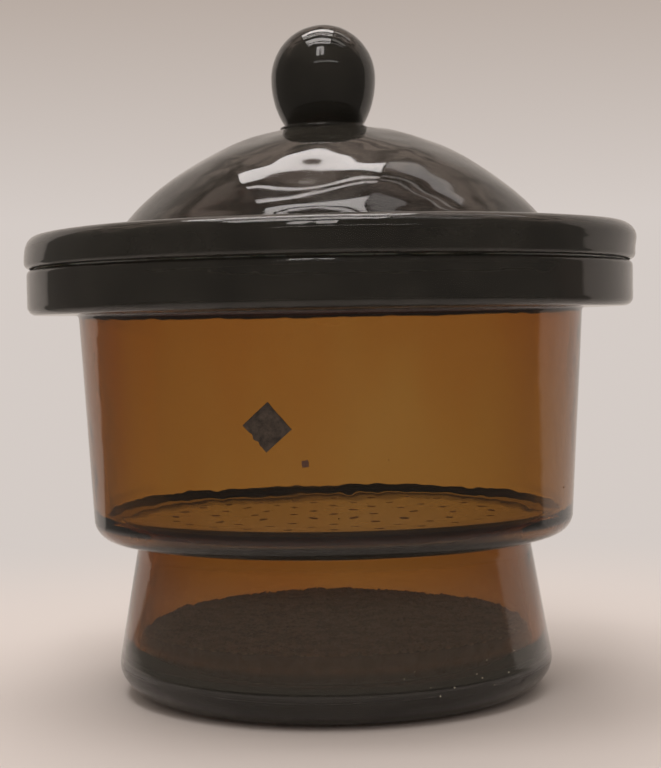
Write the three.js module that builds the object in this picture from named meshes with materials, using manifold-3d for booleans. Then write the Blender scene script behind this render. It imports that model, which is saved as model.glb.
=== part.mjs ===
// A greased-lid glass desiccator: a footed vessel with an inner ledge, a domed lid with a solid
// knob, a perforated plate on the ledge and a bed of desiccant in the foot.
// Millimetres, +Z up, origin at the centre of the plane that the foot rests on.
import * as THREE from "three";
import { mergeVertices } from "three/addons/utils/BufferGeometryUtils.js";
import Module from "manifold-3d";

const wasm = await Module();
wasm.setup();

// ---------------------------------------------------------------- driving dimensions

const SEGMENTS = 64; // sides of every turned piece, a multiple of 4
const GAP = 0.3; // clearance between solids that follow each other's surface

// Foot: a cone that widens downwards to a heavy rounded heel.
const REST_RING_R = 78.2; // outer radius of the flat ring that stands on the bench
const PUNT_R = 64; // inner radius of that ring, where the pushed-up bottom starts
const PUNT_RISE = 3;
const HEEL_R = 97.6; // widest radius of the foot
const HEEL_Z = 14.4;
const WAIST_R = 88.6; // narrowest outer radius, just under the bowl
const WAIST_Z = 68.4;
const FOOT_WALL = 7.2;
const FOOT_FLOOR_Z = 11;
const FOOT_FILLET = 13; // inner rounding between the floor and the cone

// Bowl: a nearly straight wall that stands out over the waist.
const BOWL_UNDER_Z = 70.4;
const BOWL_CORNER = 9; // outer rounding at the bottom of the bowl
const BOWL_LOW_R = 107.8; // outer radius just above that rounding
const BOWL_HIGH_R = 112.9; // outer radius just under the flange
const BOWL_WALL = 5.4;
const LEDGE_Z = 74; // top of the inner ledge that carries the plate
const LEDGE_FILLET_R = 6.5; // thick inner rounding between the wall and the ledge
const LEDGE_FILLET_Z = 12;
const WAIST_LIP = 2; // rounding where the ledge drops into the foot

// Flanges: two thick rings whose ground faces meet on a film of grease.
const FLANGE_R = 135.3;
const FLANGE_UNDER_Z = 170.4;
const FLANGE_TOP_Z = 190.4;
const FLANGE_FILLET = 2; // where the bowl's wall runs into the flange
const FLANGE_EDGE_R = 4; // rounding of the flange's lower edge
const SEAM_EDGE_R = 2.6; // rounding of both flanges towards the seam
const MOUTH_BEVEL = 1.2; // small bevel around the vessel's mouth
const GREASE = 0.4;
const LID_FLANGE_R = 136.4;
const LID_UNDER_Z = FLANGE_TOP_Z + GREASE;
const LID_FLANGE_TOP_Z = 206.5;
const LID_EDGE_R = 7; // rounding of the lid flange's upper edge

// Dome: part of a hollow ball, blown a little off the axis of the lid's flange.
const DOME_OFFSET_X = 2;
const DOME_R = 122.2;
const DOME_CENTRE_Z = 131.5;
const DOME_WALL = 5.3;
const DOME_FILLET = 3;

// Knob: a solid pear-shaped gather pressed onto the dome, a little off the axis too.
const KNOB_OFFSET_X = -1.4;
const KNOB_R = 23.6;
const KNOB_WIDE_Z = 274.9; // height of its widest part
const KNOB_TOP_Z = 299.1;
const KNOB_DROP = 32; // how fast it narrows below its widest part
const KNOB_LIP_ANGLE = -42; // where the lower side ends on the lip, in degrees
const KNOB_LIP_R = 19.5;
const KNOB_LIP_Z = 253.6;
const KNOB_SEGMENTS = 40;

// Plate: a glazed disc with rings of small holes.
const PLATE_R = 95;
const PLATE_THICK = 4.6;
const PLATE_HOLE_R = 1.8;
const PLATE_RING_PITCH = 18;
const PLATE_RINGS = 4;
const PLATE_HOLE_SIDES = 8;

// Desiccant bed: level granules on the floor of the foot.
const BED_TOP_Z = 31;

// Stickers on the front of the bowl: [side, turn, angle from the front, height].
const STICKER_THICK = 0.25;
const STICKER_LIFT = 0.1;
const DIAMOND_SIDE = 14.4;
const DIAMOND_TURN = 41;
const DIAMOND_ANGLE = -13.5;
const DIAMOND_Z = 124.3;
const SCRAP_SIDE = 3;
const SCRAP_TURN = 8;
const SCRAP_ANGLE = -5.7;
const SCRAP_Z = 109.8;

// ---------------------------------------------------------------- materials

const glass = (color) => new THREE.MeshStandardMaterial({ color, roughness: 0.05, metalness: 0 });
const matt = (color, roughness) => new THREE.MeshStandardMaterial({ color, roughness, metalness: 0 });

const amberGlass = glass("#7a4f22");
const darkGlass = glass("#2b2620");
const porcelain = matt("#e9e4d8", 0.2);
const grease = matt("#c9c2b0", 0.35);
const silicaGel = matt("#4a3a2e", 0.6);
const stickerPaper = matt("#4b4744", 0.7);
const scrapPaper = matt("#5f3f2c", 0.8);

// ---------------------------------------------------------------- outlines and turning

const point = (r, z) => new THREE.Vector2(r, z);

// Points on an elliptical arc, from one angle to the other in degrees, both ends included.
function arc(centreR, centreZ, radiusR, radiusZ, fromDeg, toDeg, steps) {
  return Array.from({ length: steps + 1 }, (_, i) => {
    const angle = THREE.MathUtils.degToRad(THREE.MathUtils.lerp(fromDeg, toDeg, i / steps));
    return point(centreR + radiusR * Math.cos(angle), centreZ + radiusZ * Math.sin(angle));
  });
}

// A solid turned about Z. The outline runs up the outside and down the inside, and either
// starts and ends on the axis or is closed here.
function turned(outline, segments = SEGMENTS) {
  const first = outline[0];
  const closed = first.x === 0 ? outline : [...outline, first];
  return new THREE.LatheGeometry(closed, segments).rotateX(Math.PI / 2);
}

// Outer radius of the foot's cone and of the bowl's wall at a height.
const coneRadius = (z) => THREE.MathUtils.mapLinear(z, HEEL_Z, WAIST_Z, HEEL_R, WAIST_R);
const bowlRadius = (z) =>
  THREE.MathUtils.mapLinear(z, BOWL_UNDER_Z + BOWL_CORNER, FLANGE_UNDER_Z, BOWL_LOW_R, BOWL_HIGH_R);

// Radius of the dome's ball of radius ballR at a height, and the angle up to that height.
const ballRadiusAt = (ballR, z) => Math.sqrt(ballR ** 2 - (z - DOME_CENTRE_Z) ** 2);
const ballAngleAt = (ballR, z) =>
  THREE.MathUtils.radToDeg(Math.asin((z - DOME_CENTRE_Z) / ballR));

// ---------------------------------------------------------------- solids for manifold-3d

function solidOf(geometry) {
  const bare = geometry.clone();
  bare.deleteAttribute("normal");
  bare.deleteAttribute("uv");
  const merged = mergeVertices(bare, 1e-4);
  const mesh = new wasm.Mesh({
    numProp: 3,
    vertProperties: merged.attributes.position.array,
    triVerts: new Uint32Array(merged.index.array),
  });
  return new wasm.Manifold(mesh);
}

function geometryOf(solid) {
  const mesh = solid.getMesh();
  const geometry = new THREE.BufferGeometry();
  geometry.setAttribute("position", new THREE.BufferAttribute(mesh.vertProperties, 3));
  geometry.setIndex(new THREE.BufferAttribute(mesh.triVerts, 1));
  geometry.computeVertexNormals();
  return geometry;
}

// ---------------------------------------------------------------- vessel

// The inner surface of the foot from under the waist's lip down to the axis, moved inwards by inset.
function footInside(topZ, inset) {
  const filletR = FOOT_FILLET - inset;
  const centreZ = FOOT_FLOOR_Z + FOOT_FILLET;
  const centreR = coneRadius(centreZ) - FOOT_WALL - FOOT_FILLET;
  return [
    point(coneRadius(topZ) - FOOT_WALL - inset, topZ),
    ...arc(centreR, centreZ, filletR, filletR, 0, -90, 4),
    point(0, FOOT_FLOOR_Z + inset),
  ];
}

function vesselGeometry() {
  const punt = [0, 0.4, 0.7, 0.9].map((t) => point(PUNT_R * t, PUNT_RISE * (1 - t * t)));
  const heel = arc(REST_RING_R, HEEL_Z, HEEL_R - REST_RING_R, HEEL_Z, -90, 0, 5);
  const waist = [
    point(WAIST_R, WAIST_Z),
    point(WAIST_R + 0.6, BOWL_UNDER_Z - 0.6),
    point(WAIST_R + 2, BOWL_UNDER_Z),
  ];
  const bowlCorner = arc(
    BOWL_LOW_R - BOWL_CORNER, BOWL_UNDER_Z + BOWL_CORNER, BOWL_CORNER, BOWL_CORNER, -90, 0, 4);
  const underFlange = arc(
    BOWL_HIGH_R + FLANGE_FILLET, FLANGE_UNDER_Z - FLANGE_FILLET,
    FLANGE_FILLET, FLANGE_FILLET, 180, 90, 2);
  const flangeEdge = arc(
    FLANGE_R - FLANGE_EDGE_R, FLANGE_UNDER_Z + FLANGE_EDGE_R,
    FLANGE_EDGE_R, FLANGE_EDGE_R, -90, 0, 3);
  const seamEdge = arc(
    FLANGE_R - SEAM_EDGE_R, FLANGE_TOP_Z - SEAM_EDGE_R, SEAM_EDGE_R, SEAM_EDGE_R, 0, 90, 2);
  const mouth = [
    point(BOWL_HIGH_R - BOWL_WALL + MOUTH_BEVEL, FLANGE_TOP_Z),
    point(BOWL_HIGH_R - BOWL_WALL, FLANGE_TOP_Z - MOUTH_BEVEL),
    point(BOWL_HIGH_R - BOWL_WALL, FLANGE_UNDER_Z),
  ];
  const ledgeCentreZ = LEDGE_Z + LEDGE_FILLET_Z;
  const ledgeCorner = arc(
    bowlRadius(ledgeCentreZ) - BOWL_WALL - LEDGE_FILLET_R, ledgeCentreZ,
    LEDGE_FILLET_R, LEDGE_FILLET_Z, 0, -90, 4);
  const lipZ = LEDGE_Z - WAIST_LIP;
  const waistLip = arc(
    coneRadius(lipZ) - FOOT_WALL + WAIST_LIP, lipZ, WAIST_LIP, WAIST_LIP, 90, 135, 1);
  return turned([
    ...punt,
    point(PUNT_R, 0),
    ...heel,
    ...waist,
    ...bowlCorner,
    ...underFlange,
    ...flangeEdge,
    ...seamEdge,
    ...mouth,
    ...ledgeCorner,
    ...waistLip,
    ...footInside(lipZ, 0),
  ]);
}

// ---------------------------------------------------------------- lid and grease

const INNER_DOME_R = DOME_R - DOME_WALL;
const MOUTH_R = ballRadiusAt(INNER_DOME_R, LID_UNDER_Z);

function lidGeometry() {
  const seamEdge = arc(
    LID_FLANGE_R - SEAM_EDGE_R, LID_UNDER_Z + SEAM_EDGE_R, SEAM_EDGE_R, SEAM_EDGE_R, -90, 0, 2);
  const flangeEdge = arc(
    LID_FLANGE_R - LID_EDGE_R, LID_FLANGE_TOP_Z - LID_EDGE_R, LID_EDGE_R, LID_EDGE_R, 0, 90, 4);
  const domeStartZ = LID_FLANGE_TOP_Z + DOME_FILLET;
  const domeFoot = point(ballRadiusAt(DOME_R, LID_FLANGE_TOP_Z) + DOME_FILLET, LID_FLANGE_TOP_Z);
  const outside = arc(0, DOME_CENTRE_Z, DOME_R, DOME_R, ballAngleAt(DOME_R, domeStartZ), 90, 10);
  const inside = arc(
    0, DOME_CENTRE_Z, INNER_DOME_R, INNER_DOME_R, 90, ballAngleAt(INNER_DOME_R, LID_UNDER_Z), 12);
  outside.at(-1).x = 0;
  inside[0].x = 0;
  const lid = turned([...inside, ...seamEdge, ...flangeEdge, domeFoot, ...outside]);
  const position = lid.attributes.position;
  for (let i = 0; i < position.count; i++) {
    const r = Math.hypot(position.getX(i), position.getY(i));
    const onFlange = THREE.MathUtils.smoothstep(r, MOUTH_R + 1, LID_FLANGE_R - LID_EDGE_R);
    position.setX(i, position.getX(i) + DOME_OFFSET_X * (1 - onFlange));
  }
  return lid;
}

const greaseGeometry = () =>
  turned([
    point(BOWL_HIGH_R - BOWL_WALL + MOUTH_BEVEL, FLANGE_TOP_Z),
    point(FLANGE_R - SEAM_EDGE_R, FLANGE_TOP_Z),
    point(FLANGE_R - SEAM_EDGE_R, LID_UNDER_Z),
    point(BOWL_HIGH_R - BOWL_WALL + MOUTH_BEVEL, LID_UNDER_Z),
  ]);

// The knob: two half ovals on a thin lip, cut to fit over the dome.
function knobGeometry() {
  const lower = arc(0, KNOB_WIDE_Z, KNOB_R, KNOB_DROP, KNOB_LIP_ANGLE, 0, 6);
  const upper = arc(0, KNOB_WIDE_Z, KNOB_R, KNOB_TOP_Z - KNOB_WIDE_Z, 0, 90, 10);
  upper.at(-1).x = 0;
  const insideDome = DOME_CENTRE_Z + DOME_R - 6;
  const outline = [
    point(0, insideDome),
    point(KNOB_LIP_R, insideDome),
    point(KNOB_LIP_R, KNOB_LIP_Z - 0.8),
    point(KNOB_LIP_R - 0.8, KNOB_LIP_Z),
    ...lower.slice(0, -1),
    ...upper,
  ];
  const stock = solidOf(turned(outline, KNOB_SEGMENTS));
  const dome = solidOf(
    new THREE.SphereGeometry(DOME_R + GAP, 2 * SEGMENTS, SEGMENTS)
      .rotateX(Math.PI / 2)
      .translate(DOME_OFFSET_X - KNOB_OFFSET_X, 0, DOME_CENTRE_Z),
  );
  return geometryOf(stock.subtract(dome));
}

// ---------------------------------------------------------------- plate and desiccant

function plateGeometry() {
  const disc = new THREE.Shape().absarc(0, 0, PLATE_R, 0, 2 * Math.PI);
  for (let ring = 0; ring <= PLATE_RINGS; ring++) {
    const holes = Math.max(1, 6 * ring);
    for (let i = 0; i < holes; i++) {
      const angle = (2 * Math.PI * i) / holes;
      const x = ring * PLATE_RING_PITCH * Math.cos(angle);
      const y = ring * PLATE_RING_PITCH * Math.sin(angle);
      const sides = Array.from({ length: PLATE_HOLE_SIDES }, (_, k) => {
        const turn = (-2 * Math.PI * k) / PLATE_HOLE_SIDES;
        return point(x + PLATE_HOLE_R * Math.cos(turn), y + PLATE_HOLE_R * Math.sin(turn));
      });
      disc.holes.push(new THREE.Path(sides));
    }
  }
  return new THREE.ExtrudeGeometry(disc, {
    depth: PLATE_THICK,
    bevelEnabled: false,
    curveSegments: SEGMENTS / 2,
  });
}

const bedGeometry = () => turned([...footInside(BED_TOP_Z, GAP).reverse(), point(0, BED_TOP_Z)]);

// ---------------------------------------------------------------- stickers

// A thin square, turned in its own plane and bent round the front of the bowl.
function stickerGeometry(side, turnDeg, angleDeg, height) {
  const cells = Math.ceil(side / 2.5);
  const patch = new THREE.BoxGeometry(side, side, STICKER_THICK, cells, cells, 1)
    .rotateZ(THREE.MathUtils.degToRad(turnDeg))
    .translate(0, 0, STICKER_THICK / 2 + STICKER_LIFT);
  const position = patch.attributes.position;
  for (let i = 0; i < position.count; i++) {
    const z = height + position.getY(i);
    const wall = bowlRadius(z);
    const angle = THREE.MathUtils.degToRad(angleDeg) + position.getX(i) / wall;
    const radius = wall + position.getZ(i);
    position.setXYZ(i, radius * Math.sin(angle), -radius * Math.cos(angle), z);
  }
  patch.computeVertexNormals();
  return patch;
}

// ---------------------------------------------------------------- assembly

const desiccator = new THREE.Group();

function add(name, geometry, material, place = [0, 0, 0]) {
  const mesh = new THREE.Mesh(geometry, material);
  mesh.name = name;
  mesh.position.set(...place);
  desiccator.add(mesh);
}

add("vessel", vesselGeometry(), amberGlass);
add("desiccant_bed", bedGeometry(), silicaGel);
add("porcelain_plate", plateGeometry(), porcelain, [0, 0, LEDGE_Z]);
add("grease_film", greaseGeometry(), grease);
add("lid", lidGeometry(), darkGlass);
add("lid_knob", knobGeometry(), darkGlass, [KNOB_OFFSET_X, 0, 0]);
add(
  "diamond_sticker",
  stickerGeometry(DIAMOND_SIDE, DIAMOND_TURN, DIAMOND_ANGLE, DIAMOND_Z),
  stickerPaper,
);
add("sticker_scrap", stickerGeometry(SCRAP_SIDE, SCRAP_TURN, SCRAP_ANGLE, SCRAP_Z), scrapPaper);

export default desiccator;
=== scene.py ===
# Looks of the glass desiccator: fine blown-glass surfaces, granules, glaze, grease and stickers
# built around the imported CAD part, with a pale floor and soft studio light.
import math
import random

import bmesh
import bpy
import numpy as np
from mathutils import Matrix, Vector, noise


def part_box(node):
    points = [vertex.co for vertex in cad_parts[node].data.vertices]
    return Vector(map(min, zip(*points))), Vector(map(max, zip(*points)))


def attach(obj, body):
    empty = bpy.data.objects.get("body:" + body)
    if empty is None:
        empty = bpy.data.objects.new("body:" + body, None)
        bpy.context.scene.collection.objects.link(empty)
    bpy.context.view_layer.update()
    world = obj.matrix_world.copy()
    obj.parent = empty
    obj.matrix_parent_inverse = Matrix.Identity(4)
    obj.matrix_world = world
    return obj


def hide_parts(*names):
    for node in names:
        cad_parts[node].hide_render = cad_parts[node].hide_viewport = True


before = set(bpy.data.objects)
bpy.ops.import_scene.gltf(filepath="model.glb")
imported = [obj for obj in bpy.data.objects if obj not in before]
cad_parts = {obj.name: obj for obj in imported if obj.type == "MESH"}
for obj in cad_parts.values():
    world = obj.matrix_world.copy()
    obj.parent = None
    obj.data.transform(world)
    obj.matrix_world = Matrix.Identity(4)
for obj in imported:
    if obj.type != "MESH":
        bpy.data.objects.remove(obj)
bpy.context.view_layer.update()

MM = 0.001

# ---------------------------------------------------------------- sizes from the frame, in mm


def box_mm(node):
    """The lowest and highest corner of a CAD node's box."""
    low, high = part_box(node)
    return low / MM, high / MM


VESSEL_HIGH = box_mm("vessel")[1]
LID_LOW, LID_HIGH = box_mm("lid")
KNOB_LOW, KNOB_HIGH = box_mm("lid_knob")
PLATE_LOW, PLATE_HIGH = box_mm("porcelain_plate")
BED_HIGH = box_mm("desiccant_bed")[1]
DIAMOND_LOW, DIAMOND_HIGH = box_mm("diamond_sticker")
SCRAP_LOW, SCRAP_HIGH = box_mm("sticker_scrap")

FLANGE_R = VESSEL_HIGH.x
FLANGE_TOP_Z = VESSEL_HIGH.z
LID_FLANGE_R = LID_HIGH.x
LID_UNDER_Z = LID_LOW.z
DOME_TOP_Z = LID_HIGH.z
KNOB_X = (KNOB_LOW.x + KNOB_HIGH.x) / 2
KNOB_R = (KNOB_HIGH.x - KNOB_LOW.x) / 2
KNOB_TOP_Z = KNOB_HIGH.z
PLATE_R = PLATE_HIGH.x
LEDGE_Z = PLATE_LOW.z
PLATE_TOP_Z = PLATE_HIGH.z
BED_TOP_Z = BED_HIGH.z

# ---------------------------------------------------------------- sizes of the glass, in mm

REST_RING_R = 78.2
PUNT_R = 64
PUNT_RISE = 3
HEEL_R = 97.6
HEEL_Z = 14.4
WAIST_R = 88.6
WAIST_Z = 68.4
FOOT_WALL = 7.2
FOOT_FLOOR_Z = 11
FOOT_FILLET = 13
BOWL_UNDER_Z = 70.4
BOWL_CORNER = 9
BOWL_LOW_R = 107.8
BOWL_HIGH_R = 112.9
BOWL_WALL = 5.4
LEDGE_FILLET_R = 6.5
LEDGE_FILLET_Z = 12
WAIST_LIP = 2
FLANGE_UNDER_Z = 170.4
FLANGE_FILLET = 2
FLANGE_EDGE_R = 4
SEAM_EDGE_R = 2.6
MOUTH_BEVEL = 1.2
LID_FLANGE_TOP_Z = 206.5
LID_EDGE_R = 7
DOME_OFFSET_X = 2
DOME_R = 122.2
DOME_CENTRE_Z = DOME_TOP_Z - DOME_R
DOME_WALL = 5.3
DOME_FILLET = 3
KNOB_WIDE_Z = 274.9
KNOB_DROP = 32
KNOB_LIP_ANGLE = -42
KNOB_LIP_R = 19.5
KNOB_LIP_Z = 253.6

# ---------------------------------------------------------------- node helpers


def material(name):
    """A new node material and its node tree, holding only the output node."""
    made = bpy.data.materials.new(name)
    made.use_nodes = True
    tree = made.node_tree
    tree.nodes.clear()
    tree.nodes.new("ShaderNodeOutputMaterial")
    return made, tree


def node(tree, kind, **values):
    """A node of that kind, with its properties or its input sockets set by name."""
    made = tree.nodes.new("ShaderNode" + kind)
    for name, value in values.items():
        if name in made.bl_rna.properties:
            setattr(made, name, value)
        else:
            made.inputs[name.replace("_", " ")].default_value = value
    return made


def link(tree, source, target):
    tree.links.new(source, target)


def output(tree):
    return next(n for n in tree.nodes if n.type == "OUTPUT_MATERIAL")


def ramp(tree, source, stops):
    """A colour ramp over source, with stops of (place, colour)."""
    made = tree.nodes.new("ShaderNodeValToRGB")
    elements = made.color_ramp.elements
    while len(elements) < len(stops):
        elements.new(1.0)
    for element, (place, colour) in zip(elements, stops):
        element.position = place
        element.color = (*colour, 1.0)
    link(tree, source, made.inputs["Fac"])
    return made.outputs["Color"]


def grey(value):
    return (value, value, value)


def rescale(tree, value, from_range, to_range=(0, 1), **how):
    """value moved from one range of numbers to another, and held at the ends."""
    made = node(tree, "MapRange", **how)
    ends = (*from_range, *to_range)
    for name, end in zip(("From Min", "From Max", "To Min", "To Max"), ends):
        made.inputs[name].default_value = end
    link(tree, value, made.inputs["Value"])
    return made.outputs["Result"]


def smooth_rise(tree, value, low, high, top=1.0):
    """0 at low and top at high, smoothly joined and held at both ends."""
    return rescale(tree, value, (low, high), (0, top), interpolation_type="SMOOTHSTEP")


def combine(tree, operation, first, second):
    """The sum, product or the like of two node outputs."""
    made = node(tree, "Math", operation=operation)
    link(tree, first, made.inputs[0])
    link(tree, second, made.inputs[1])
    return made.outputs["Value"]


def mix_shader(tree, factor, first, second):
    made = node(tree, "MixShader")
    link(tree, factor, made.inputs["Fac"])
    link(tree, first, made.inputs[1])
    link(tree, second, made.inputs[2])
    return made.outputs["Shader"]


def object_coords(tree, scale=(1, 1, 1)):
    coords = node(tree, "TexCoord")
    mapping = node(tree, "Mapping")
    mapping.inputs["Scale"].default_value = scale
    link(tree, coords.outputs["Object"], mapping.inputs["Vector"])
    return mapping.outputs["Vector"]


def noise_texture(tree, vector, scale, detail=3.0, roughness=0.5):
    made = node(tree, "TexNoise", Scale=scale, Detail=detail, Roughness=roughness)
    link(tree, vector, made.inputs["Vector"])
    return made.outputs["Fac"]


def bump(tree, height, distance, strength=1.0):
    made = node(tree, "Bump", Strength=strength, Distance=distance)
    link(tree, height, made.inputs["Height"])
    return made.outputs["Normal"]


# ---------------------------------------------------------------- glass materials

GLASS_IOR = 1.52
ABSORPTION_COLOUR = (0.7535, 0.565, 0.12, 1.0)  # what a thin slice of the amber glass passes
AMBER_DENSITY = 346.0  # per metre, so that a 5 mm wall looks honey brown
LID_DENSITY = 5.4 * AMBER_DENSITY  # the lid is the same colour, but looks nearly black
HAZE_COLOUR = (0.62, 0.58, 0.47, 1.0)
SMUDGE_SCALE = 38.0
STREAK_SCALE = (13, 13, 4)  # drawn out upwards
WARM_TINT = np.array((0.96, 0.84, 0.68))
DRIFT_HEIGHTS = ((LEDGE_Z + 16) * MM, FLANGE_UNDER_Z * MM)
DRIFT = (0.1, -0.14)  # how much less or more of the warm tint there is at those heights
FOOT_HAZE_HEIGHTS = (BOWL_UNDER_Z * MM, (BOWL_UNDER_Z - 25) * MM)


def glass_material(name, density, roughness, grain_scale, grain_depth, haze, tint=1.0, foot_haze=0.0):
    """Amber glass with its colour inside, a noise for its finish and a thin film of dust, with
    more dust below the bowl. Its colour drifts in streaks, and is warmer near the flange. A tint
    below 1 darkens the colour as painted shade, where thick glass looks dark from light bent in it."""
    made, tree = material(name)
    coords = object_coords(tree)
    height = node(tree, "SeparateXYZ")
    link(tree, coords, height.inputs["Vector"])

    glass = node(tree, "BsdfPrincipled", IOR=GLASS_IOR, Transmission_Weight=1.0)
    streaks = noise_texture(tree, object_coords(tree, STREAK_SCALE), 1.0, 3.0, 0.55)
    drift = rescale(tree, height.outputs["Z"], DRIFT_HEIGHTS, DRIFT)
    tint_stops = [(0.34, tint * WARM_TINT), (0.62, grey(tint))]
    tints = ramp(tree, combine(tree, "ADD", streaks, drift), tint_stops)
    link(tree, tints, glass.inputs["Base Color"])
    smudges = noise_texture(tree, coords, SMUDGE_SCALE, 5.0, 0.62)
    rough = ramp(tree, smudges, [(0.45, grey(roughness[0])), (0.75, grey(roughness[1]))])
    link(tree, rough, glass.inputs["Roughness"])
    grain = noise_texture(tree, coords, grain_scale, 2.0, 0.4)
    link(tree, bump(tree, grain, grain_depth), glass.inputs["Normal"])

    dust = node(tree, "BsdfDiffuse")
    dust.inputs["Color"].default_value = HAZE_COLOUR
    film = ramp(tree, smudges, [(0.3, grey(0.6 * haze)), (0.7, grey(1.3 * haze))])
    low_down = smooth_rise(tree, height.outputs["Z"], *FOOT_HAZE_HEIGHTS, foot_haze)
    cover = combine(tree, "ADD", film, low_down)
    surface = mix_shader(tree, cover, glass.outputs["BSDF"], dust.outputs["BSDF"])

    inside = node(tree, "VolumeAbsorption", Density=density)
    inside.inputs["Color"].default_value = ABSORPTION_COLOUR
    link(tree, surface, output(tree).inputs["Surface"])
    link(tree, inside.outputs["Volume"], output(tree).inputs["Volume"])
    return made


amber_glass = glass_material(
    "amber_glass", AMBER_DENSITY, (0.0, 0.05), 55.0, 0.0002, 0.005, foot_haze=0.06)
# Painted shade: a darker copy of the amber glass for the ledge's inner corner and the bowl's outer bottom
# corner, where the real glass looks dark from light bent inside it.
painted_shade_amber = glass_material("painted_shade_amber_glass", AMBER_DENSITY, (0.02, 0.1), 55.0, 0.0003, 0.03, tint=0.55)
heel_amber = glass_material("heel_amber_glass", AMBER_DENSITY, (0.0, 0.06), 55.0, 0.0002, 0.03)
dark_glass = glass_material("dark_amber_glass", LID_DENSITY, (0.04, 0.12), 55.0, 0.0001, 0.03)
ground_amber = glass_material("ground_amber_glass", AMBER_DENSITY, (0.4, 0.6), 900.0, 0.00008, 0.04)
ground_dark = glass_material("ground_dark_glass", LID_DENSITY, (0.4, 0.6), 900.0, 0.00008, 0.04)

# ---------------------------------------------------------------- outlines


def arc(centre_r, centre_z, radius_r, radius_z, start, end, steps):
    """Points on an elliptical arc between two angles in degrees, both ends included."""
    angles = np.radians(np.linspace(start, end, steps + 1))
    return [(centre_r + radius_r * math.cos(a), centre_z + radius_z * math.sin(a)) for a in angles]


def rounding(centre_r, centre_z, radius, start, end, steps):
    """A round corner, as points on a circular arc."""
    return arc(centre_r, centre_z, radius, radius, start, end, steps)


def line(start, end, steps):
    """Points from start up to, but not including, end."""
    spread = np.linspace(0, 1, steps, endpoint=False)
    return [tuple(np.array(start) + t * (np.array(end) - np.array(start))) for t in spread]


def cone_radius(z):
    """Outer radius of the foot's cone at a height."""
    return HEEL_R + (z - HEEL_Z) / (WAIST_Z - HEEL_Z) * (WAIST_R - HEEL_R)


def bowl_radius(z):
    """Outer radius of the bowl's wall at a height."""
    low_z = BOWL_UNDER_Z + BOWL_CORNER
    return BOWL_LOW_R + (z - low_z) / (FLANGE_UNDER_Z - low_z) * (BOWL_HIGH_R - BOWL_LOW_R)


def ball_radius_at(ball_r, z):
    """Radius, at a height, of a ball of radius ball_r around the dome's centre."""
    return math.sqrt(ball_r**2 - (z - DOME_CENTRE_Z) ** 2)


def ball_angle_at(ball_r, z):
    """Angle, in degrees, from the dome's centre up to that height on such a ball."""
    return math.degrees(math.asin((z - DOME_CENTRE_Z) / ball_r))


def smoothed(points, rounds):
    """An outline with its corners cut off and its two ends kept."""
    for _ in range(rounds):
        middle = []
        for (r0, z0), (r1, z1) in zip(points, points[1:]):
            middle.append((0.75 * r0 + 0.25 * r1, 0.75 * z0 + 0.25 * z1))
            middle.append((0.25 * r0 + 0.75 * r1, 0.25 * z0 + 0.75 * z1))
        points = [points[0], *middle, points[-1]]
    return points


# ---------------------------------------------------------------- mesh helpers


def smooth_step(low, high, x):
    """0 below low and 1 above high, smoothly joined."""
    t = np.clip((np.asarray(x, float) - low) / (high - low), 0, 1)
    return t * t * (3 - 2 * t)


def new_piece(name, vertices, faces, materials, face_slots=None):
    """A smooth-shaded mesh object from vertices in mm."""
    mesh = bpy.data.meshes.new(name)
    mesh.from_pydata((np.asarray(vertices) * MM).tolist(), [], faces)
    for made in materials:
        mesh.materials.append(made)
    if face_slots is not None:
        mesh.polygons.foreach_set("material_index", face_slots)
    mesh.shade_smooth()
    mesh.update()
    piece = bpy.data.objects.new(name, mesh)
    bpy.context.scene.collection.objects.link(piece)
    return piece


def outline_normals(outline):
    """Unit normals of an outline that runs up the outside, pointing out of the glass."""
    ahead = np.gradient(outline, axis=0)
    normals = np.stack([ahead[:, 1], -ahead[:, 0]], axis=1)
    return normals / np.maximum(np.linalg.norm(normals, axis=1, keepdims=True), 1e-9)


def turned(name, outline, segments, materials, swell=None, slot_of=None):
    """A solid turned about Z. swell gives how far each point stands out along its normal, as
    a function of angle, radius, height and place along the outline. slot_of gives a material."""
    outline = np.array(outline, float)
    on_axis = outline[0, 0] < 1e-6
    normals = outline_normals(outline)
    steps = np.linalg.norm(np.diff(outline, axis=0), axis=1)
    along = np.concatenate([[0], np.cumsum(steps)])
    angles = np.linspace(0, 2 * math.pi, segments, endpoint=False)
    r = outline[:, 0][:, None] + np.zeros(segments)
    z = outline[:, 1][:, None] + np.zeros(segments)
    if swell is not None:
        out = swell(angles[None, :], r, z, along[:, None])
        out = out * (r > 1e-6)
        r = r + normals[:, 0][:, None] * out
        z = z + normals[:, 1][:, None] * out
    grid = np.stack([r * np.cos(angles), r * np.sin(angles), z], axis=-1)
    count = len(outline)
    vertices = list(grid.reshape(-1, 3))
    index = np.arange(count * segments).reshape(count, segments)
    faces, slots = [], []
    last = count - 1 if on_axis else count
    for i in range(last):
        j = (i + 1) % count
        middle = (outline[i] + outline[j]) / 2
        place = slot_of(*middle) if slot_of else 0
        for k in range(segments):
            n = (k + 1) % segments
            corners = [index[i, k], index[i, n], index[j, n], index[j, k]]
            if on_axis and i == 0:
                corners = [index[0, 0], index[j, n], index[j, k]]
            elif on_axis and j == count - 1:
                corners = [index[i, k], index[i, n], index[j, 0]]
            faces.append([int(c) for c in corners])
            slots.append(place)
    piece = new_piece(name, vertices, faces, materials, slots)
    drop_loose(piece)
    return piece


def drop_loose(piece):
    """Removes the unused copies of the points on the axis."""
    work = bmesh.new()
    work.from_mesh(piece.data)
    loose = [v for v in work.verts if not v.link_faces]
    bmesh.ops.delete(work, geom=loose, context="VERTS")
    work.to_mesh(piece.data)
    work.free()


def waves(angle, along, seeds):
    """A smooth uneven surface between about -1 and 1: long slow swells of hand-worked glass."""
    total = 0
    for turns, length, phase in seeds:
        total = total + np.sin(turns * angle + phase) * np.cos(along / length + 1.7 * phase)
    return total / len(seeds)


# ---------------------------------------------------------------- vessel


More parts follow.
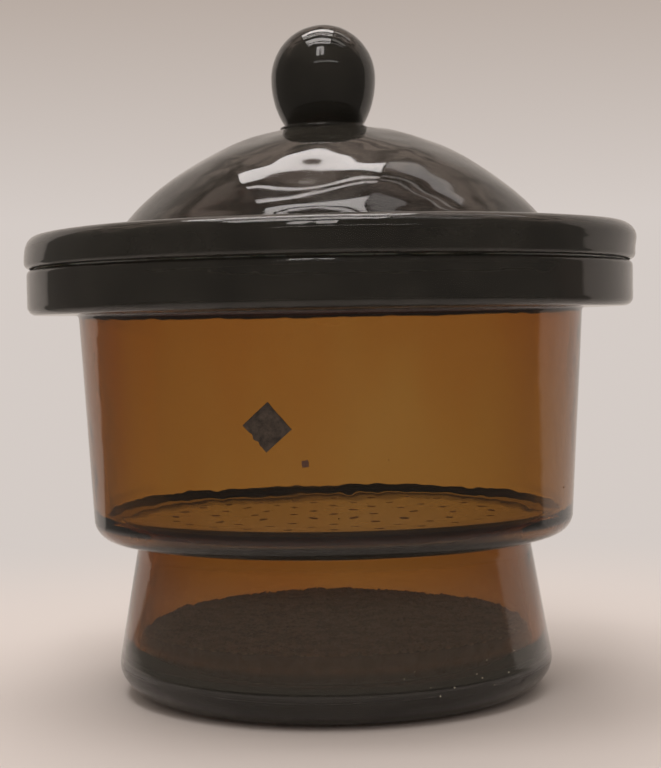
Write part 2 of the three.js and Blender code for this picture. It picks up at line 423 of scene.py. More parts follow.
def vessel_outline():
    """From the middle of the underside, up the outside, over the flange and down the inside."""
    punt = [(PUNT_R * t, PUNT_RISE * (1 - t * t)) for t in np.linspace(0, 1, 20)]
    heel = arc(REST_RING_R, HEEL_Z, HEEL_R - REST_RING_R, HEEL_Z, -90, 7, 30)
    foot_side = line(heel[-1], (WAIST_R, WAIST_Z - 2), 26)
    waist_corner = [(WAIST_R + 0.3, WAIST_Z - 2), (WAIST_R, BOWL_UNDER_Z), (WAIST_R + 4, BOWL_UNDER_Z)]
    waist = smoothed(waist_corner, 4)
    side_low = (BOWL_LOW_R, BOWL_UNDER_Z + BOWL_CORNER)
    side_high = (BOWL_HIGH_R, FLANGE_UNDER_Z - FLANGE_FILLET)
    corner = rounding(BOWL_LOW_R - BOWL_CORNER, side_low[1], BOWL_CORNER, -90, 0, 18)
    side = line(side_low, side_high, 40)
    under = rounding(BOWL_HIGH_R + FLANGE_FILLET, side_high[1], FLANGE_FILLET, 180, 90, 8)
    edge_z = FLANGE_UNDER_Z + FLANGE_EDGE_R
    edge = rounding(FLANGE_R - FLANGE_EDGE_R, edge_z, FLANGE_EDGE_R, -90, 0, 12)
    seam_z = FLANGE_TOP_Z - SEAM_EDGE_R
    rim = line((FLANGE_R, edge_z + 1), (FLANGE_R, seam_z), 10)
    seam = rounding(FLANGE_R - SEAM_EDGE_R, seam_z, SEAM_EDGE_R, 0, 90, 10)
    mouth_r = BOWL_HIGH_R - BOWL_WALL
    bevel_r = mouth_r + MOUTH_BEVEL
    face = line((FLANGE_R - SEAM_EDGE_R - 1, FLANGE_TOP_Z), (bevel_r, FLANGE_TOP_Z), 8)
    mouth = rounding(bevel_r, FLANGE_TOP_Z - MOUTH_BEVEL, MOUTH_BEVEL, 90, 180, 5)
    bore = line((mouth_r, FLANGE_TOP_Z - 3), (mouth_r, FLANGE_UNDER_Z), 8)
    ledge_z = LEDGE_Z + LEDGE_FILLET_Z
    low_r = bowl_radius(ledge_z) - BOWL_WALL
    inside = line((mouth_r, FLANGE_UNDER_Z), (low_r, ledge_z), 40)
    ledge = arc(low_r - LEDGE_FILLET_R, ledge_z, LEDGE_FILLET_R, LEDGE_FILLET_Z, 0, -90, 16)
    lip_z = LEDGE_Z - WAIST_LIP
    lip = rounding(cone_radius(lip_z) - FOOT_WALL + WAIST_LIP, lip_z, WAIST_LIP, 90, 170, 6)
    outside = punt + heel + foot_side[1:] + waist + corner[1:] + side[1:] + under
    flange = edge + rim + seam + face + mouth
    return outside + flange + bore + inside + ledge + lip + foot_inside(lip_z - 2, 0)


def foot_inside(top_z, inset):
    """The inner surface of the foot, from that height down to the axis, moved inwards by inset."""
    centre_z = FOOT_FLOOR_Z + FOOT_FILLET
    centre_r = cone_radius(centre_z) - FOOT_WALL - FOOT_FILLET
    start = (cone_radius(top_z) - FOOT_WALL - inset, top_z)
    end = (cone_radius(centre_z) - FOOT_WALL - inset, centre_z)
    fillet_r = FOOT_FILLET - inset
    floor_z = FOOT_FLOOR_Z + inset
    fillet = arc(centre_r, centre_z, fillet_r, fillet_r, 0, -90, 16)
    return line(start, end, 20) + fillet + line((centre_r - 4, floor_z), (0, floor_z), 16) + [(0, floor_z)]


# (swells in a turn, length along the outline in mm, phase) of each of a piece's waves
VESSEL_WAVES = [(2, 31.0, 0.3), (3, 23.0, 1.9), (5, 17.0, 4.1), (4, 47.0, 2.6), (7, 13.0, 5.2)]
BRUISE_ANGLE = math.radians(-50)
BRUISE_Z = 182
BRUISE_SIZE = 7.5
BRUISE_DEPTH = 0.5
VESSEL_WAVE_HEIGHT = 0.27


def vessel_swell(angle, r, z, along):
    """Uneven blowing, none where the glass is ground or stands on the bench, and one bruise."""
    worked = smooth_step(0, 6, z) * smooth_step(0, 5, np.abs(z - FLANGE_TOP_Z))
    worked = worked * smooth_step(0, 4, np.abs(z - LEDGE_Z))
    flange = smooth_step(BOWL_HIGH_R + 4, BOWL_HIGH_R + 8, r)
    uneven = VESSEL_WAVE_HEIGHT * waves(angle, along, VESSEL_WAVES) * worked * (1 - 0.6 * flange)
    across = FLANGE_R * (np.mod(angle - BRUISE_ANGLE + math.pi, 2 * math.pi) - math.pi)
    distance = np.hypot(across, z - BRUISE_Z) / BRUISE_SIZE
    bruise = BRUISE_DEPTH * np.clip(1 - distance**2, 0, 1) ** 1.5 * (r > FLANGE_R - 4)
    return np.minimum(uneven, 0.25) - bruise


# The third slot is painted shade: glass given a darker colour where the real glass only looks dark.
CLEAR, GROUND, PAINTED_SHADE, HEEL = range(4)  # the vessel's material slots


def vessel_slot(r, z):
    """Which of the vessel's materials a place on its outline has."""
    if z > FLANGE_UNDER_Z - 1 and r > BOWL_HIGH_R - BOWL_WALL + MOUTH_BEVEL:
        return GROUND if z > FLANGE_TOP_Z - 0.05 else HEEL
    in_corner = LEDGE_Z + 3 < z < LEDGE_Z + LEDGE_FILLET_Z and r < bowl_radius(z) - BOWL_WALL - 0.1
    under_bowl = BOWL_UNDER_Z - 0.1 < z < BOWL_UNDER_Z + 0.7 * BOWL_CORNER and r > WAIST_R + 2
    # Painted shade: the ledge's corner and the bowl's bottom corner get the darkened glass.
    if (in_corner and r > PLATE_R) or (under_bowl and r > bowl_radius(z) - BOWL_WALL):
        return PAINTED_SHADE
    return HEEL if z < FOOT_FLOOR_Z + 6 else CLEAR


vessel = turned(
    "vessel_glass", vessel_outline(), 192, [amber_glass, ground_amber, painted_shade_amber, heel_amber],
    vessel_swell, vessel_slot)

# ---------------------------------------------------------------- lid


INNER_DOME_R = DOME_R - DOME_WALL
LID_MOUTH_R = ball_radius_at(INNER_DOME_R, LID_UNDER_Z)
DOME_FOOT_R = ball_radius_at(DOME_R, LID_FLANGE_TOP_Z)


def lid_outline():
    """From the middle of the inside, down to the ground face, round the flange and over the dome."""
    low_angle = ball_angle_at(INNER_DOME_R, LID_UNDER_Z)
    inside = arc(0, DOME_CENTRE_Z, INNER_DOME_R, INNER_DOME_R, 90, low_angle, 60)
    seam_r = LID_FLANGE_R - SEAM_EDGE_R
    face = line((LID_MOUTH_R, LID_UNDER_Z), (seam_r, LID_UNDER_Z), 10)
    seam = rounding(seam_r, LID_UNDER_Z + SEAM_EDGE_R, SEAM_EDGE_R, -90, 0, 10)
    edge_z = LID_FLANGE_TOP_Z - LID_EDGE_R
    rim = line((LID_FLANGE_R, LID_UNDER_Z + SEAM_EDGE_R + 1), (LID_FLANGE_R, edge_z), 6)
    edge = rounding(LID_FLANGE_R - LID_EDGE_R, edge_z, LID_EDGE_R, 0, 90, 16)
    fillet_start = (DOME_FOOT_R + DOME_FILLET, LID_FLANGE_TOP_Z)
    top = line((LID_FLANGE_R - LID_EDGE_R - 2, LID_FLANGE_TOP_Z), fillet_start, 12)
    start_z = LID_FLANGE_TOP_Z + DOME_FILLET
    fillet_end = (ball_radius_at(DOME_R, start_z), start_z)
    fillet = smoothed([fillet_start, (DOME_FOOT_R, LID_FLANGE_TOP_Z), fillet_end], 4)
    outside = arc(0, DOME_CENTRE_Z, DOME_R, DOME_R, ball_angle_at(DOME_R, start_z), 90, 110)
    inside[0] = (0, inside[0][1])
    outside[-1] = (0, outside[-1][1])
    return inside[:-1] + face + seam + rim + edge + top + fillet[:-1] + outside


LID_WAVES = [(3, 15.0, 0.9), (5, 11.0, 3.3), (2, 19.0, 5.1), (7, 9.0, 1.2), (9, 7.0, 4.4), (4, 8.0, 2.2)]
RIM_LEAN = 0.9


def lid_swell(angle, r, z, along):
    """Uneven glass, faint rings from the turning tool on the dome, and an edge that is fuller
    on one side."""
    worked = smooth_step(0, 5, np.abs(z - LID_UNDER_Z))
    dome = smooth_step(LID_FLANGE_TOP_Z, LID_FLANGE_TOP_Z + 6, z)
    rings = np.sin(along / 1.9 + 1.4 * np.sin(3 * angle + 0.8) + 0.8 * np.sin(7 * angle))
    uneven = (0.3 + 1.0 * dome) * waves(angle, along, LID_WAVES) + 0.02 * rings * dome
    edge = smooth_step(122, 131, r) * smooth_step(LID_UNDER_Z + 4, LID_FLANGE_TOP_Z - 3, z)
    return (uneven * worked + RIM_LEAN * np.cos(angle) * edge) * smooth_step(0, 25, r)


def off_centre(piece, shift, inner_r, outer_r):
    """Moves a piece along X, wholly inside inner_r and not at all outside outer_r."""
    points = np.empty(3 * len(piece.data.vertices))
    piece.data.vertices.foreach_get("co", points)
    points = points.reshape(-1, 3)
    r = np.hypot(points[:, 0], points[:, 1]) / MM
    points[:, 0] += shift * MM * (1 - smooth_step(inner_r, outer_r, r))
    piece.data.vertices.foreach_set("co", points.ravel())
    piece.data.update()


def lid_slot(r, z):
    """1 on the ground sealing face, 0 elsewhere."""
    return int(z < LID_UNDER_Z + 0.05)


lid = turned("lid_glass", lid_outline(), 256, [dark_glass, ground_dark], lid_swell, lid_slot)
off_centre(lid, DOME_OFFSET_X, LID_MOUTH_R + 1, LID_FLANGE_R - LID_EDGE_R)

# ---------------------------------------------------------------- knob

KNOB_SINK = 0.4  # how far the knob is pressed into the dome


def knob_side(degrees):
    """A point on the knob: an oval above its widest height and a longer oval below it."""
    angle = math.radians(degrees)
    height = KNOB_TOP_Z - KNOB_WIDE_Z if degrees > 0 else KNOB_DROP
    return (KNOB_R * math.cos(angle), KNOB_WIDE_Z + height * math.sin(angle))


def knob_outline():
    """From the middle of its underside, out to the lip, up the side and over the top."""
    lip_under_z = ball_height_at(KNOB_LIP_R) - KNOB_SINK
    under = [(r, ball_height_at(r) - KNOB_SINK) for r in np.linspace(0, KNOB_LIP_R - 0.5, 12)]
    lip_corners = [
        under.pop(),
        (KNOB_LIP_R, lip_under_z + 0.4),
        (KNOB_LIP_R, KNOB_LIP_Z - 0.5),
        (KNOB_LIP_R - 0.9, KNOB_LIP_Z),
        knob_side(KNOB_LIP_ANGLE),
        knob_side(KNOB_LIP_ANGLE + 3),
    ]
    lip = smoothed(lip_corners, 3)
    side = [knob_side(a) for a in np.linspace(KNOB_LIP_ANGLE + 3, 90, 80)]
    side[-1] = (0, KNOB_TOP_Z)
    return under + lip[:-1] + side


def ball_height_at(r):
    """Height of the dome's outer surface at a radius."""
    return DOME_CENTRE_Z + math.sqrt(DOME_R**2 - r**2)


KNOB_WAVES = [(2, 9.0, 0.4), (3, 7.0, 2.2), (5, 6.0, 4.0)]


def knob_swell(angle, r, z, along):
    """Uneven glass, and an underside tilted to lie on the dome away from the dome's middle."""
    slope = (DOME_OFFSET_X - KNOB_X) / DOME_R
    tilt = -slope * r * np.cos(angle) * (1 - smooth_step(KNOB_LIP_Z - 1, KNOB_LIP_Z, z))
    return 0.1 * waves(angle, along, KNOB_WAVES) * smooth_step(0, 8, r) - 0.08 + tilt


knob = turned("knob_glass", knob_outline(), 96, [dark_glass], knob_swell)
knob.data.transform(Matrix.Translation((KNOB_X * MM, 0, 0)))

# ---------------------------------------------------------------- plate


def porcelain_material():
    """White glaze, a little uneven in tint and gloss."""
    made, tree = material("glazed_porcelain")
    coords = object_coords(tree)
    shader = node(tree, "BsdfPrincipled", IOR=1.5, Coat_Weight=1.0, Coat_Roughness=0.05)
    tint = noise_texture(tree, coords, 26.0, 4.0, 0.6)
    colour = ramp(tree, tint, [(0.35, (0.84, 0.81, 0.74)), (0.65, (0.9, 0.88, 0.83))])
    link(tree, colour, shader.inputs["Base Color"])
    link(tree, ramp(tree, tint, [(0.3, grey(0.24)), (0.7, grey(0.34))]), shader.inputs["Roughness"])
    link(tree, shader.outputs["BSDF"], output(tree).inputs["Surface"])
    return made


PLATE_BEVEL = 0.7
PLATE_HOLE_R = 1.8
PLATE_RING_PITCH = 18
PLATE_RINGS = 4
PLATE_SIDES = 160
PLATE_HOLE_SIDES = 20
FLAT = 0.99  # faces that look up or down by this much are shaded flat


def circle_spline(curve, x, y, radius, steps):
    """Adds a closed circle of straight steps to a flat curve."""
    spline = curve.splines.new("POLY")
    spline.points.add(steps - 1)
    for k, p in enumerate(spline.points):
        a = 2 * math.pi * k / steps
        p.co = ((x + radius * math.cos(a)) * MM, (y + radius * math.sin(a)) * MM, 0, 1)
    spline.use_cyclic_u = True


def plate_piece():
    """A filled outline with its holes, extruded with a rounded edge, as the glazed disc."""
    curve = bpy.data.curves.new("plate_outline", "CURVE")
    curve.dimensions = "2D"
    curve.fill_mode = "BOTH"
    curve.extrude = ((PLATE_TOP_Z - LEDGE_Z) / 2 - PLATE_BEVEL) * MM
    curve.bevel_depth = PLATE_BEVEL * MM
    curve.bevel_resolution = 3
    circle_spline(curve, 0, 0, PLATE_R - PLATE_BEVEL, PLATE_SIDES)
    for ring in range(PLATE_RINGS + 1):
        holes = max(1, 6 * ring)
        for i in range(holes):
            a = 2 * math.pi * i / holes
            x = ring * PLATE_RING_PITCH * math.cos(a)
            y = ring * PLATE_RING_PITCH * math.sin(a)
            circle_spline(curve, x, y, PLATE_HOLE_R + PLATE_BEVEL, PLATE_HOLE_SIDES)
    source = bpy.data.objects.new("plate_outline", curve)
    bpy.context.scene.collection.objects.link(source)
    bpy.context.view_layer.update()
    evaluated = source.evaluated_get(bpy.context.evaluated_depsgraph_get())
    mesh = bpy.data.meshes.new_from_object(evaluated)
    bpy.data.objects.remove(source)
    bpy.data.curves.remove(curve)
    work = bmesh.new()
    work.from_mesh(mesh)
    bmesh.ops.remove_doubles(work, verts=work.verts, dist=1e-6)
    bmesh.ops.recalc_face_normals(work, faces=work.faces)
    bmesh.ops.translate(work, verts=work.verts, vec=(0, 0, (PLATE_TOP_Z + LEDGE_Z) / 2 * MM))
    for face in work.faces:
        face.smooth = abs(face.normal.z) < FLAT
    work.to_mesh(mesh)
    work.free()
    mesh.materials.clear()
    mesh.materials.append(porcelain_material())
    piece = bpy.data.objects.new("perforated_plate", mesh)
    bpy.context.scene.collection.objects.link(piece)
    return piece


plate = plate_piece()

# ---------------------------------------------------------------- desiccant


def granule_material(name, tones):
    """Broken granules in three tones from dark to light."""
    made, tree = material(name)
    coords = object_coords(tree)
    shader = node(tree, "BsdfPrincipled", IOR=1.46)
    cells = node(tree, "TexVoronoi", Scale=260.0)
    link(tree, coords, cells.inputs["Vector"])
    tone = node(tree, "SeparateColor")
    link(tree, cells.outputs["Color"], tone.inputs["Color"])
    stops = list(zip((0.0, 0.6, 1.0), tones))
    link(tree, ramp(tree, tone.outputs["Red"], stops), shader.inputs["Base Color"])
    grain = noise_texture(tree, coords, 700.0, 3.0, 0.6)
    link(tree, ramp(tree, grain, [(0.3, grey(0.18)), (0.7, grey(0.5))]), shader.inputs["Roughness"])
    link(tree, bump(tree, grain, 0.0001), shader.inputs["Normal"])
    link(tree, shader.outputs["BSDF"], output(tree).inputs["Surface"])
    return made


GRAIN_R = 1.5
GRAIN_SHAKE = 0.3
GRAIN_SHAPES = 8
CORE_INSET = 0.9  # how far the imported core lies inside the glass
CORE_DROP = 1.6  # how far its top lies under the loose granules' top
silica_gel = granule_material("silica_gel", ((0.29, 0.2, 0.16), (0.4, 0.29, 0.22), (0.5, 0.37, 0.29)))
# The second granule material is painted shade: the granules' colours made darker for the mass under the
# loose top layer.
gel_in_painted_shade = granule_material("gel_in_painted_shade", ((0.14, 0.1, 0.08), (0.17, 0.125, 0.1), (0.2, 0.15, 0.12)))


def grain_shape(rng):
    """One broken granule: a rough ball of twelve corners, as points and faces."""
    work = bmesh.new()
    bmesh.ops.create_icosphere(work, subdivisions=1, radius=1.0)
    points = np.array([v.co for v in work.verts])
    faces = [[v.index for v in f.verts] for f in work.faces]
    work.free()
    points *= np.array([[rng.uniform(0.78, 1.05)] for _ in points])
    return points, faces


def grain_places(rng):
    """Granules over the top of the bed, in a shaken hexagonal layer."""
    places = []
    step = 1.8 * GRAIN_R
    row_step = step * math.sqrt(3) / 2
    reach = cone_radius(BED_TOP_Z) - FOOT_WALL - 1.2 * GRAIN_R - 0.4
    rows = int(reach / row_step) + 1
    for row in range(-rows, rows + 1):
        y = row * row_step
        for column in range(-rows - 6, rows + 7):
            x = (column + (row % 2) / 2) * step
            if math.hypot(x, y) < reach:
                shaken_x = x + rng.uniform(-GRAIN_SHAKE, GRAIN_SHAKE)
                shaken_y = y + rng.uniform(-GRAIN_SHAKE, GRAIN_SHAKE)
                shaken_z = BED_TOP_Z - GRAIN_R + rng.uniform(-0.4, 0.0)
                places.append((shaken_x, shaken_y, shaken_z))
    return places


def bed_piece():
    """The loose granules on top of the bed."""
    rng = random.Random(11)
    shapes = [grain_shape(rng) for _ in range(GRAIN_SHAPES)]
    vertices, faces = [], []
    for place in grain_places(rng):
        points, template = rng.choice(shapes)
        spin = Matrix.Rotation(rng.uniform(0, 6.28), 3, Vector((rng.uniform(-1, 1), rng.uniform(-1, 1), 1)))
        size = GRAIN_R * rng.uniform(0.8, 1.0)
        turned_points = points @ np.array(spin).T * size + np.array(place)
        start = len(vertices)
        vertices.extend(turned_points)
        faces.extend([[start + i for i in f] for f in template])
    return new_piece("desiccant_granules", vertices, faces, [silica_gel])


granules = bed_piece()
core_top = BED_TOP_Z - CORE_DROP
core_side = foot_inside(core_top, CORE_INSET)
core_lid = line((0.001, core_top), (core_side[0][0] - 1, core_top), 10)


def core_swell(angle, r, z, along):
    """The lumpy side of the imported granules."""
    return 0.06 * np.sin(40 * angle + along) * np.sin(along / 0.9) * smooth_step(20, 60, r) - 0.15


desiccant_core = turned(
    "desiccant_core", core_side[::-1] + core_lid[:0:-1] + [(0, core_top)], 192, [gel_in_painted_shade], core_swell)

# ---------------------------------------------------------------- grease


def grease_material():
    made, tree = material("sealing_grease")
    coords = object_coords(tree)
    shader = node(
        tree, "BsdfPrincipled", IOR=1.47, Transmission_Weight=0.55, Subsurface_Weight=0.2,
        Subsurface_Scale=0.002)
    smear = noise_texture(tree, coords, 60.0, 4.0, 0.6)
    colour = ramp(tree, smear, [(0.3, (0.36, 0.31, 0.22)), (0.7, (0.68, 0.64, 0.54))])
    link(tree, colour, shader.inputs["Base Color"])
    link(tree, ramp(tree, smear, [(0.3, grey(0.12)), (0.7, grey(0.4))]), shader.inputs["Roughness"])
    link(tree, bump(tree, smear, 0.0003), shader.inputs["Normal"])
    link(tree, shader.outputs["BSDF"], output(tree).inputs["Surface"])
    return made


def grease_swell(angle, r, z, along):
    """The squeezed-out edge: drawn in at most places and beaded at a few."""
    edge = smooth_step(FLANGE_R - 5, FLANGE_R - 3, r)
    beads = waves(angle, 0, [(9, 1.0, 0.4), (17, 1.0, 2.9), (31, 1.0, 1.1), (5, 1.0, 5.0)])
    return edge * (1.5 * beads - 0.5)


middle_z = (FLANGE_TOP_Z + LID_UNDER_Z) / 2
half = (LID_UNDER_Z - FLANGE_TOP_Z) / 2 - 0.01
inner_r = BOWL_HIGH_R - BOWL_WALL + MOUTH_BEVEL
outer_r = FLANGE_R - SEAM_EDGE_R
grease_outline = (
    line((inner_r, middle_z - half), (outer_r, middle_z - half), 8)
    + arc(outer_r, middle_z, half, half, -90, 90, 6)
    + line((outer_r - 0.5, middle_z + half), (inner_r, middle_z + half), 8)
    + [(inner_r - 0.1, middle_z)]
)
grease = turned("grease_ring", grease_outline, 256, [grease_material()], grease_swell)

# ---------------------------------------------------------------- stickers


def sticker_material(name, dark, light, scale):
    made, tree = material(name)
    coords = object_coords(tree)
    shader = node(tree, "BsdfPrincipled", IOR=1.45)
    blots = noise_texture(tree, coords, scale, 5.0, 0.65)
    link(tree, ramp(tree, blots, [(0.35, dark), (0.7, light)]), shader.inputs["Base Color"])
    fibres = noise_texture(tree, coords, 900.0, 2.0, 0.6)
    link(tree, ramp(tree, fibres, [(0.3, grey(0.45)), (0.7, grey(0.75))]), shader.inputs["Roughness"])
    link(tree, bump(tree, fibres, 0.00005), shader.inputs["Normal"])
    link(tree, shader.outputs["BSDF"], output(tree).inputs["Surface"])
    return made


STICKER_LIFT = 0.3
STICKER_THICK = 0.12
STICKER_CELLS = 26  # squares along each edge
TEAR_SCALE = 7  # bites along a torn edge
DIAMOND_TURN = math.radians(41)
SCRAP_TURN = math.radians(8)


def torn(amount, along, row, seed):
    """How far an edge is torn in at that share of its length."""
    return amount * (0.6 + noise.noise((along * TEAR_SCALE, row, seed)))


def sticker(name, low, high, turn, tears, made):
    """A thin square label bent round the bowl, each of its four edges torn by its own amount.
    Its place comes from its CAD node's box."""
    middle = (low + high) / 2
    facing = math.atan2(middle.x, -middle.y)
    reach = (high.z - low.z) / 2
    side = 2 * reach / (abs(math.cos(turn)) + abs(math.sin(turn)))
    rows = []
    for layer in (0, 1):
        for i in range(STICKER_CELLS + 1):
            for j in range(STICKER_CELLS + 1):
                s, t = i / STICKER_CELLS, j / STICKER_CELLS
                left = torn(tears[0], t, 3.1, reach)
                right = torn(tears[1], t, 9.4, reach)
                under = torn(tears[2], s, 5.2, reach)
                over = torn(tears[3], s, 1.7, reach)
                u = (left + (1 - left - right) * s - 0.5) * side
                v = (under + (1 - under - over) * t - 0.5) * side
                x = u * math.cos(turn) - v * math.sin(turn)
                z = middle.z + u * math.sin(turn) + v * math.cos(turn)
                wall = bowl_radius(z) + STICKER_LIFT + layer * STICKER_THICK
                a = facing + x / wall
                rows.append((wall * math.sin(a), -wall * math.cos(a), z))
    return new_piece(name, rows, label_faces(STICKER_CELLS), [made])


def label_faces(cells):
    """Faces of two square sheets of points, the inner one first, joined round their border."""
    size = cells + 1
    sheet = size * size
    faces = []
    for i in range(cells):
        for j in range(cells):
            a = i * size + j
            corners = [a, a + size, a + size + 1, a + 1]
            faces.append(corners[::-1])
            faces.append([c + sheet for c in corners])
    border = [i * size for i in range(size)]
    border += [cells * size + j for j in range(1, size)]
    border += [i * size + cells for i in range(cells - 1, -1, -1)]
    border += [j for j in range(cells - 1, 0, -1)]
    for a, b in zip(border, border[1:] + border[:1]):
        faces.append([a, b, b + sheet, a + sheet])
    return faces


# Painted shade: the diamond label is given the dark brown it shows against the light, not its paper colour;
# the blotches are uneven tone.
diamond = sticker(
    "diamond_label", DIAMOND_LOW, DIAMOND_HIGH, DIAMOND_TURN, (0.05, 0.01, 0.0, 0.0),
    sticker_material("label_in_painted_shade", (0.028, 0.02, 0.014), (0.085, 0.062, 0.045), 330.0))
scrap = sticker(
    "label_scrap", SCRAP_LOW, SCRAP_HIGH, SCRAP_TURN, (0.08, 0.1, 0.12, 0.06),
    sticker_material("brown_scrap", (0.05, 0.02, 0.012), (0.13, 0.06, 0.035), 900.0))

# ---------------------------------------------------------------- grit and seeds on the glass

SPECK_LIFT = 0.05


def speck_material(name, dark, light):
    made, tree = material(name)
    coords = object_coords(tree)
    shader = node(tree, "BsdfPrincipled", IOR=1.5, Roughness=0.7)
    tint = noise_texture(tree, coords, 1500.0)
    link(tree, ramp(tree, tint, [(0.3, dark), (0.7, light)]), shader.inputs["Base Color"])
    link(tree, bump(tree, tint, 0.0001), shader.inputs["Normal"])
    link(tree, shader.outputs["BSDF"], output(tree).inputs["Surface"])
    return made


def foot_radius(z):
    """Outer radius of the foot at a height, down to the ring it stands on."""
    if z > HEEL_Z:
        return cone_radius(z)
    return REST_RING_R + (HEEL_R - REST_RING_R) * math.sqrt(1 - (1 - z / HEEL_Z) ** 2)


def specks(name, made, seed, count, heights, facing, sizes, radius_at):
    """Small grains scattered on the front of the glass, in a range of heights and of sizes.
    facing is a mean angle from the front and a spread, in degrees."""
    rng = random.Random(seed)
    vertices, faces = [], []
    for _ in range(count):
        points, template = grain_shape(rng)
        z = rng.uniform(*heights)
        a = math.radians(rng.gauss(*facing))
        r = radius_at(z) + SPECK_LIFT
        place = np.array((r * math.sin(a), -r * math.cos(a), z))
        start = len(vertices)
        vertices.extend(points * rng.uniform(*sizes) + place)
        faces.extend([[start + i for i in f] for f in template])
    return new_piece(name, vertices, faces, [made])


grit = specks(
    "heel_grit", speck_material("pale_grit", (0.45, 0.4, 0.28), (0.8, 0.76, 0.62)),
    seed=5, count=20, heights=(5, 36), facing=(36, 20), sizes=(0.12, 0.4), radius_at=foot_radius)
seeds = specks(
    "glass_seeds", speck_material("dark_seeds", (0.03, 0.015, 0.008), (0.1, 0.05, 0.02)),
    seed=9, count=16, heights=(84, 164), facing=(0, 38), sizes=(0.14, 0.36), radius_at=bowl_radius)

# ---------------------------------------------------------------- what rides on what

for piece, body, nodes, slot in (
    (vessel, "vessel", ["vessel"], "amber_glass"),
    (granules, "vessel", ["desiccant_bed"], "silica_gel"),
    (desiccant_core, "vessel", ["desiccant_bed"], "silica_gel"),
    (diamond, "vessel", ["diamond_sticker"], "sticker_paper"),
    (scrap, "vessel", ["sticker_scrap"], "scrap_paper"),
    (grit, "vessel", [], "scrap_paper"),
    (seeds, "vessel", [], "scrap_paper"),
    (plate, "plate", ["porcelain_plate"], "porcelain"),
    (grease, "grease", ["grease_film"], "grease"),
    (lid, "lid", ["lid"], "dark_amber_glass"),
    (knob, "lid", ["lid_knob"], "dark_amber_glass"),
):
    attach(piece, body)
    if nodes:
        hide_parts(*nodes)

# ---------------------------------------------------------------- floor, surroundings and light

FLOOR_R = 4.0
FADE_START = 0.12
FADE_END = 0.6
BACKDROP = (0.66, 0.60, 0.565)
BACKDROP_HIGH = (0.47, 0.40, 0.355)
CLOTH_LEFT = -50  # how far the cloth behind the glass reaches to either side, in degrees
CLOTH_RIGHT = 73
MIRRORED_CLOTH = (0.58, 0.51, 0.46)
DIM_ROOM = (0.16, 0.145, 0.13)
LIT_CEILING = (0.74, 0.59, 0.5)
SHADED_CEILING = (0.2, 0.165, 0.14)
CEILING_RISE = (0.45, 0.75)  # where the ceiling starts and is full, as the height of a direction
CEILING_DEPTH = (-0.02, 0.2)  # the same, as how far back a direction points
FLOOR_COLOUR = (0.78, 0.735, 0.70, 1.0)
FLOOR_SIDES = 128


def turn_share(degrees):
    """Where a direction that far to the right of straight back falls in a full turn, 0 to 1."""
    return 0.5 + degrees / 360


def room_walls(tree, parts):
    """The colour that the glass mirrors from a direction or place around it: the pale cloth
    behind the glass, and a dim room on the viewer's side."""
    turn = combine(tree, "ARCTAN2", parts.outputs["X"], parts.outputs["Y"])
    share = rescale(tree, turn, (-math.pi, math.pi))
    stops = [
        (turn_share(CLOTH_LEFT - 2), DIM_ROOM),
        (turn_share(CLOTH_LEFT), MIRRORED_CLOTH),
        (turn_share(CLOTH_RIGHT), MIRRORED_CLOTH),
        (turn_share(CLOTH_RIGHT + 3), DIM_ROOM),
    ]
    return ramp(tree, share, stops)


def floor_material():
    """Pale paper that turns into the backdrop's own colour further out, so no horizon shows."""
    made, tree = material("pale_floor")
    coords = object_coords(tree)
    paper = node(tree, "BsdfPrincipled", Roughness=0.8, Specular_IOR_Level=0.15)
    paper.inputs["Base Color"].default_value = FLOOR_COLOUR
    seen = node(tree, "Emission")
    seen.inputs["Color"].default_value = (*BACKDROP, 1.0)
    parts = node(tree, "SeparateXYZ")
    link(tree, coords, parts.inputs["Vector"])
    mirrored = node(tree, "Emission")
    link(tree, room_walls(tree, parts), mirrored.inputs["Color"])
    path = node(tree, "LightPath")
    far = mix_shader(
        tree, path.outputs["Is Glossy Ray"], seen.outputs["Emission"], mirrored.outputs["Emission"])
    reach = node(tree, "VectorMath", operation="LENGTH")
    link(tree, coords, reach.inputs[0])
    fade = smooth_rise(tree, reach.outputs["Value"], FADE_START, FADE_END)
    whole = mix_shader(tree, fade, paper.outputs["BSDF"], far)
    link(tree, whole, output(tree).inputs["Surface"])
    return made


def floor_piece():
    work = bmesh.new()
    bmesh.ops.create_circle(work, cap_ends=True, segments=FLOOR_SIDES, radius=FLOOR_R)
    mesh = bpy.data.meshes.new("floor")
    work.to_mesh(mesh)
    work.free()
    mesh.materials.append(floor_material())
    floor = bpy.data.objects.new("floor", mesh)
    bpy.context.scene.collection.objects.link(floor)
    return floor


floor_piece()


def backdrop_shader(tree, height):
    """A pale cloth, darker towards its top."""
    made = node(tree, "Background")
    link(tree, ramp(tree, height, [(0.06, BACKDROP), (0.19, BACKDROP_HIGH)]), made.inputs["Color"])
    return made.outputs["Background"]


def room_shader(tree, direction, parts, height):
    """The mirrored walls, and the unevenly lit ceiling beyond the glass."""
    walls = node(tree, "Background")
    link(tree, room_walls(tree, parts), walls.inputs["Color"])
    ceiling = node(tree, "Background")
    patches = noise_texture(tree, direction, 9.0, 2.0, 0.5)
    link(tree, ramp(tree, patches, [(0.42, SHADED_CEILING), (0.58, LIT_CEILING)]), ceiling.inputs["Color"])
    rise = smooth_rise(tree, height, *CEILING_RISE)
    beyond = smooth_rise(tree, parts.outputs["Y"], *CEILING_DEPTH)
    ceiling_share = combine(tree, "MULTIPLY", rise, beyond)
    return mix_shader(tree, ceiling_share, walls.outputs["Background"], ceiling.outputs["Background"])


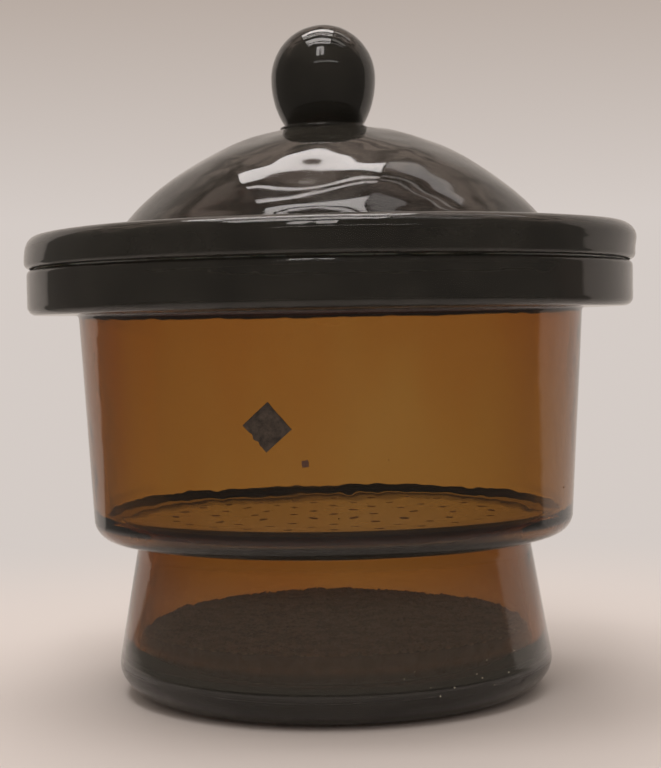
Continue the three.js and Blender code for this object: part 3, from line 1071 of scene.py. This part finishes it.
def surroundings():
    """The world: the backdrop itself, and the room around it for mirrored rays only."""
    world = bpy.data.worlds.new("studio")
    bpy.context.scene.world = world
    world.use_nodes = True
    tree = world.node_tree
    tree.nodes.clear()
    direction = node(tree, "TexCoord")
    parts = node(tree, "SeparateXYZ")
    link(tree, direction.outputs["Generated"], parts.inputs["Vector"])
    height = parts.outputs["Z"]
    path = node(tree, "LightPath")
    end = node(tree, "OutputWorld")
    room = room_shader(tree, direction.outputs["Generated"], parts, height)
    both = mix_shader(tree, path.outputs["Is Glossy Ray"], backdrop_shader(tree, height), room)
    link(tree, both, end.inputs["Surface"])


surroundings()


def lamp(name, place, target, width, depth, radiance):
    """A rectangular area light that looks as bright as radiance from any side it shines to."""
    data = bpy.data.lights.new(name, "AREA")
    data.shape = "RECTANGLE"
    data.size = width
    data.size_y = depth
    data.energy = radiance * math.pi * width * depth
    data.color = LAMP_COLOUR
    made = bpy.data.objects.new(name, data)
    made.location = place
    aim = Vector(target) - Vector(place)
    made.rotation_mode = "QUATERNION"
    made.rotation_quaternion = aim.to_track_quat("-Z", "Y")
    bpy.context.scene.collection.objects.link(made)
    return made


LAMP_COLOUR = (1.0, 0.94, 0.92)
CEILING_Z = 2.0
CEILING_PANELS = ((-0.5, 0.12), (-0.22, 0.3), (0.24, 0.07), (0.42, 0.07), (0.8, 0.36))  # y, depth
CEILING_PANEL_X = -0.2
SIDE_PANEL_X = 0.82
WINDOW_PANES_X = (-0.38, -0.04)
KNOB_PLACE = (0, 0, 0.27)

for n, (y, depth) in enumerate(CEILING_PANELS):
    lamp(
        f"ceiling_panel_{n}", place=(CEILING_PANEL_X, y, CEILING_Z), target=(CEILING_PANEL_X, y, 0),
        width=1.2, depth=depth, radiance=6.0)
    lamp(
        f"side_panel_{n}", place=(SIDE_PANEL_X, y + 0.1, CEILING_Z), target=(SIDE_PANEL_X, y + 0.1, 0),
        width=0.8, depth=0.7 * depth, radiance=1.3)
for n, x in enumerate(WINDOW_PANES_X):
    lamp(
        f"window_pane_{n}", place=(x, -1.45, 2.3), target=KNOB_PLACE,
        width=0.26, depth=0.9, radiance=6.0)
lamp("far_strip", place=(0.25, -2.15, 1.56), target=KNOB_PLACE, width=2.3, depth=0.09, radiance=3.0)

# ---------------------------------------------------------------- camera

CAMERA_PLACE = (-0.0005, -0.7894, 0.1643)
CAMERA_PITCH = math.radians(-1.96)
CAMERA_ROLL = math.radians(-0.99)
CAMERA_LENS = 81.6

camera_data = bpy.data.cameras.new("camera")
camera_data.lens = CAMERA_LENS
camera_data.clip_start = 0.01
camera = bpy.data.objects.new("camera", camera_data)
upright = Matrix.Rotation(math.radians(90) + CAMERA_PITCH, 4, "X")
camera.matrix_world = Matrix.Translation(CAMERA_PLACE) @ upright @ Matrix.Rotation(CAMERA_ROLL, 4, "Z")
bpy.context.scene.collection.objects.link(camera)
bpy.context.scene.camera = camera

scene = bpy.context.scene
scene.view_settings.view_transform = "Standard"
scene.cycles.use_denoising = True
scene.cycles.max_bounces = 16
scene.cycles.transmission_bounces = 16
scene.cycles.glossy_bounces = 6
scene.cycles.diffuse_bounces = 4
